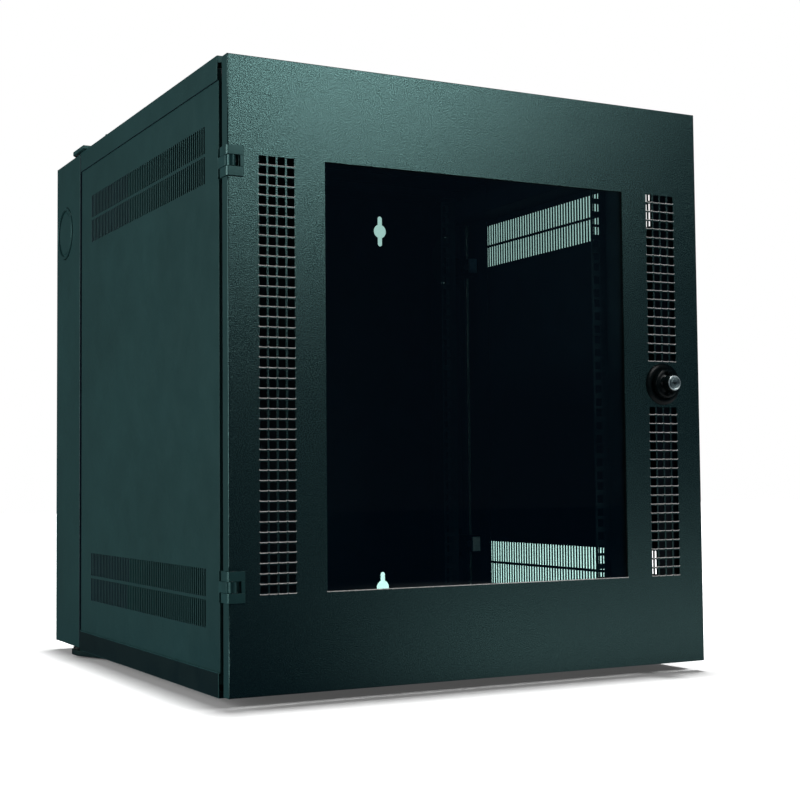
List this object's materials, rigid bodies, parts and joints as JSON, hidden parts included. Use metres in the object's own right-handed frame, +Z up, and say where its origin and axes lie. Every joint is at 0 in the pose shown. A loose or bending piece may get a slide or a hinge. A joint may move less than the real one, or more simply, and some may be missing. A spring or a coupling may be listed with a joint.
{
  "type": "wall mount network cabinet",
  "caption": "Black swing-out wall mount network cabinet with a glazed and perforated locking front door, louvred sides, 19 inch rails and a shallow hinged wall section.",
  "frame": {"origin": "centre of the wall section's back face, on the wall", "axes": "+X to the right seen from the front, +Y back into the wall, +Z up; the door faces -Y"},
  "size_m": [0.588, 0.6622, 0.66],
  "materials": {
    "body_coat": "smooth satin black powder coat",
    "door_coat": "fine texture black powder coat",
    "frame_coat": "smooth black powder coat",
    "rail_coat": "smooth black powder coat",
    "hinge_coat": "semi-gloss black",
    "steel": "zinc plated",
    "lock_black": "semi-gloss black",
    "lock_chrome": "polished",
    "gasket_rubber": "matt",
    "tinted_glass": "smoked, clear"
  },
  "bodies": {
    "wall_section": {"wall_back_panel": "body_coat", "wall_side_left": "body_coat", "wall_side_right": "body_coat", "wall_roof": "body_coat", "wall_floor": "body_coat", "cable_knockouts": "body_coat", "wall_hinge_ear_top": "frame_coat", "wall_hinge_ear_bottom": "frame_coat", "section_pin_top": "steel", "section_pin_bottom": "steel", "latch_keepers": "frame_coat"},
    "main_section": {"main_roof": "body_coat", "main_base": "body_coat", "side_panel_left": "body_coat", "side_panel_right": "body_coat", "front_frame": "frame_coat", "rear_frame": "frame_coat", "rail_support_top_left": "frame_coat", "rail_support_top_right": "frame_coat", "rail_support_bottom_left": "frame_coat", "rail_support_bottom_right": "frame_coat", "rail_front_left": "rail_coat", "rail_front_right": "rail_coat", "rail_rear_left": "rail_coat", "rail_rear_right": "rail_coat", "section_hinge_plate_top": "hinge_coat", "section_hinge_plate_bottom": "hinge_coat", "door_hinge_bracket_upper": "hinge_coat", "door_hinge_bracket_lower": "hinge_coat", "latch_guides": "frame_coat", "lock_strike": "steel", "door_hinge_pin_upper": "steel", "door_hinge_pin_lower": "steel"},
    "latch_upper": {"latch_bolt_upper": "steel"},
    "latch_lower": {"latch_bolt_lower": "steel"},
    "door": {"door_skin": "door_coat", "window_gasket": "gasket_rubber", "window_glass": "tinted_glass", "glass_clamp_top": "frame_coat", "glass_clamp_bottom": "frame_coat", "glass_clamp_left": "frame_coat", "glass_clamp_right": "frame_coat", "door_hinge_leaf_upper": "hinge_coat", "door_hinge_leaf_lower": "hinge_coat", "lock_housing": "lock_black", "lock_nut": "steel"},
    "knob": {"lock_knob": "lock_black", "lock_cam": "steel"},
    "key": {"key_plug": "lock_chrome"}
  },
  "joints": [
    {"name": "section_swing", "type": "hinge", "parent": "wall_section", "child": "main_section", "pos_m": [-0.284, -0.095, 0], "axis": [0, 0, -1], "range_deg": [0, 95]},
    {"name": "door_swing", "type": "hinge", "parent": "main_section", "child": "door", "pos_m": [-0.287, -0.6378, 0], "axis": [0, 0, -1], "range_deg": [0, 135]},
    {"name": "lock_turn", "type": "hinge", "parent": "door", "child": "knob", "pos_m": [0.2395, -0.64, -0.002], "axis": [0, -1, 0], "range_deg": [0, 90]},
    {"name": "key_turn", "type": "hinge", "parent": "knob", "child": "key", "pos_m": [0.2395, -0.662, -0.002], "axis": [0, -1, 0], "range_deg": [0, 90]},
    {"name": "latch_upper_slide", "type": "slide", "parent": "main_section", "child": "latch_upper", "axis": [0, 1, 0], "range_m": [0, 0.014]},
    {"name": "latch_lower_slide", "type": "slide", "parent": "main_section", "child": "latch_lower", "axis": [0, 1, 0], "range_m": [0, 0.014]}
  ]
}
